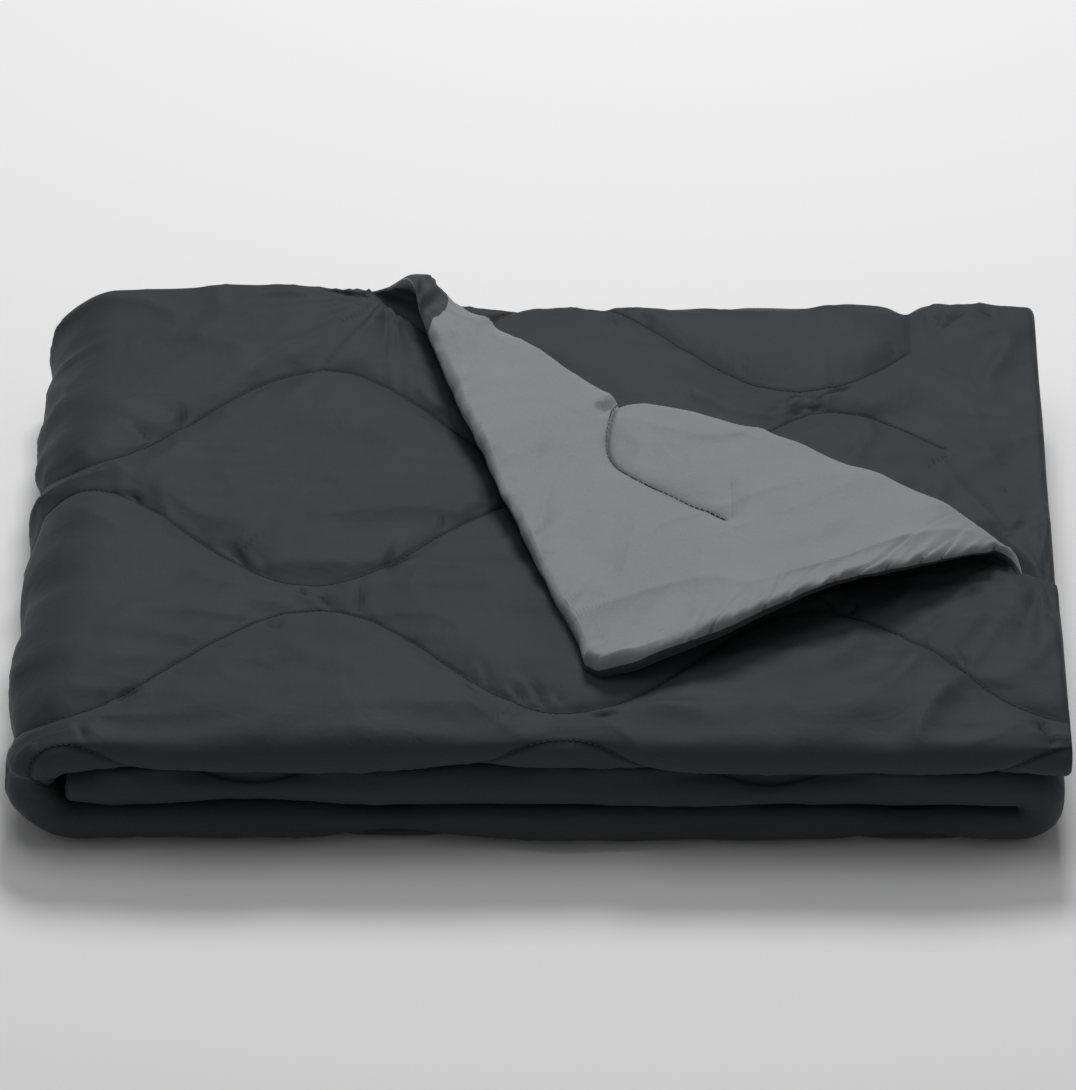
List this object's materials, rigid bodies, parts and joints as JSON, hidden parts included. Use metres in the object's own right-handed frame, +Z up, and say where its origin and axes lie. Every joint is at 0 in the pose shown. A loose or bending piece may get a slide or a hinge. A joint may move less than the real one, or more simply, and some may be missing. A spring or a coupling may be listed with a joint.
{
  "type": "infrared sauna blanket",
  "caption": "Heated quilted blanket folded in thirds both ways into a low stack, dark outside and grey inside, with the top leaf's back corner turned over.",
  "frame": {"origin": "middle of the bounding box on the floor, the power inlet included", "axes": "+X to the right along the folded stack, +Y to the back where the hem and the power inlet are, +Z up"},
  "size_m": [0.6, 0.466, 0.1088],
  "materials": {
    "face_cloth": "matte",
    "lining": "matte",
    "wadding": "matte",
    "reflector": "gloss",
    "heater_felt": "matte",
    "heating_wire": "satin",
    "thread": "matte",
    "black_plastic": "satin",
    "contact_metal": "polished"
  },
  "bodies": {
    "base": {"base_face_cloth": "face_cloth", "base_heater_felt": "heater_felt", "base_heating_wire": "heating_wire", "base_lining": "lining", "base_reflector": "reflector", "base_wadding": "wadding", "inlet_contact_left": "contact_metal", "inlet_contact_right": "contact_metal", "inlet_grommet": "black_plastic", "inlet_housing": "black_plastic", "left_fold_face_cloth": "face_cloth", "left_fold_heater_felt": "heater_felt", "left_fold_lead_wire": "heating_wire", "left_fold_lining": "lining", "left_fold_reflector": "reflector", "left_fold_wadding": "wadding", "middle_end_hem": "face_cloth", "middle_heating_wire": "heating_wire", "overheat_cutout": "black_plastic", "right_fold_lead_wire": "heating_wire", "temperature_sensor": "contact_metal"},
    "top": {"quilting_thread_1": "thread", "quilting_thread_2": "thread", "quilting_thread_3": "thread", "top_end_hem": "face_cloth", "top_face_cloth": "face_cloth", "top_heater_felt": "heater_felt", "top_heating_wire": "heating_wire", "top_lining": "lining", "top_reflector": "reflector", "top_wadding": "wadding", "tucked_quilting_thread": "thread", "turn_roll_face_cloth": "face_cloth", "turn_roll_heater_felt": "heater_felt", "turn_roll_lining": "lining", "turn_roll_reflector": "reflector", "turn_roll_wadding": "wadding"},
    "flap": {"flap_face_cloth": "face_cloth", "flap_heater_felt": "heater_felt", "flap_hem": "lining", "flap_lining": "lining", "flap_quilting_thread": "thread", "flap_reflector": "reflector", "flap_wadding": "wadding"}
  },
  "joints": [
    {"name": "top_unfold", "type": "hinge", "parent": "base", "child": "top", "pos_m": [-0.25695, 0, 0.0429], "axis": [0, -1, 0], "range_deg": [0, 170], "deforming": ["left_fold_face_cloth", "left_fold_heater_felt", "left_fold_lead_wire", "left_fold_lining", "left_fold_reflector", "left_fold_wadding"]},
    {"name": "corner_unfold", "type": "hinge", "parent": "top", "child": "flap", "pos_m": [0.09, 0.0595, 0.0928], "axis": [-0.8, 0.6, 0], "range_deg": [0, 180], "deforming": ["turn_roll_face_cloth", "turn_roll_heater_felt", "turn_roll_lining", "turn_roll_reflector", "turn_roll_wadding"]}
  ]
}
